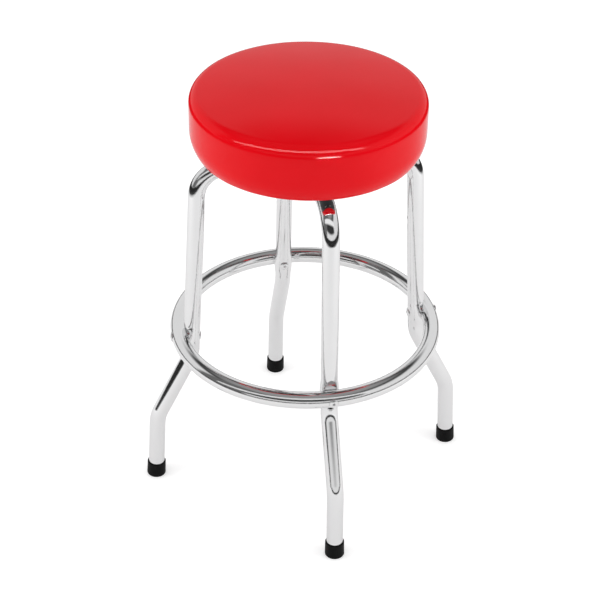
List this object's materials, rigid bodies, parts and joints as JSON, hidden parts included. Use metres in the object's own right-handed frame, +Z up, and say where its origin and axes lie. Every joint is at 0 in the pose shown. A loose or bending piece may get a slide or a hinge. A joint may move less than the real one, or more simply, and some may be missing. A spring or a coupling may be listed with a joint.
{
  "type": "counter stool",
  "caption": "Backless counter stool with a round padded vinyl seat that swivels on crossed bent-tube legs, with a bolted foot ring and rubber tips.",
  "frame": {"origin": "on the floor, below the middle of the seat", "axes": "+Z up along the swivel axis; one leg stands on each of +X (right), -X (left), -Y (front) and +Y (back)"},
  "size_m": [0.5766, 0.5766, 0.762],
  "materials": {
    "red_vinyl": "glossy upholstery vinyl",
    "foam": "open-cell foam",
    "plywood": "unfinished plywood",
    "black_cloth": "non-woven cloth",
    "zinc": "zinc plated",
    "black_plate": "black enamel",
    "bare_steel": "greased steel",
    "ball_steel": "polished",
    "chrome_tube": "bright chrome plate",
    "chrome_dome": "bright chrome plate",
    "black_rubber": "moulded rubber"
  },
  "bodies": {
    "frame": {"swivel_base_plate": "black_plate", "swivel_rivet": "bare_steel", "rivet_washer": "bare_steel", "upper_leg_frame": "chrome_tube", "lower_leg_frame": "chrome_tube", "foot_ring": "chrome_tube", "ring_bolts": "chrome_dome", "ring_nuts": "chrome_dome", "frame_bolts": "zinc", "frame_saddle_washers": "zinc", "frame_nuts": "zinc", "tip_washers": "zinc", "foot_tip_front": "black_rubber", "foot_tip_back": "black_rubber", "foot_tip_left": "black_rubber", "foot_tip_right": "black_rubber"},
    "seat": {"vinyl_cover": "red_vinyl", "foam_pad": "foam", "seat_board": "plywood", "dust_cover": "black_cloth", "t_nuts": "zinc", "seat_screws": "zinc", "swivel_top_plate": "black_plate"},
    "cage": {"ball_cage": "bare_steel", "bearing_balls": "ball_steel"}
  },
  "joints": [
    {"name": "seat_swivel", "type": "hinge", "parent": "frame", "child": "seat", "pos_m": [0, 0, 0.6445], "axis": [0, 0, 1], "continuous": true},
    {"name": "cage_orbit", "type": "hinge", "parent": "frame", "child": "cage", "pos_m": [0, 0, 0.6445], "axis": [0, 0, 1], "continuous": true}
  ],
  "couplings": [
    {"joint": "cage_orbit", "follows": "seat_swivel", "ratio": 0.5}
  ]
}
